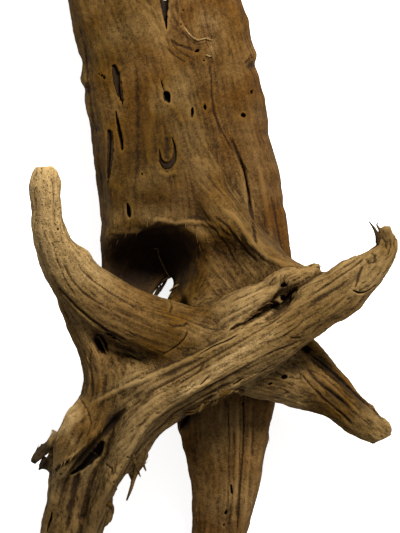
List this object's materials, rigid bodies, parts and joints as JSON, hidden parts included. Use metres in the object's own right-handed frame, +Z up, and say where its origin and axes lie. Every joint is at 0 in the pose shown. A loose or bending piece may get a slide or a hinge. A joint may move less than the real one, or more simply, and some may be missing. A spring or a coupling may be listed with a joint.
{
  "type": "aquarium driftwood",
  "caption": "Gnarled, forked piece of dry root wood that lies on its back, with a split trunk, a hollow under a bark lip, crossing roots and tapering legs.",
  "frame": {"origin": "middle of the footprint, on the surface that the piece lies on", "axes": "+Z up from the resting surface towards the crossing roots, +Y from the legs towards the head of the trunk, +X towards the fin and the hooked root"},
  "size_m": [0.22, 0.4042, 0.1188],
  "materials": {
    "driftwood_wood": "dry weathered root wood, matt, with raised grain, worm holes and darker hollows"
  },
  "bodies": {
    "root": {"driftwood": "driftwood_wood"}
  },
  "joints": []
}
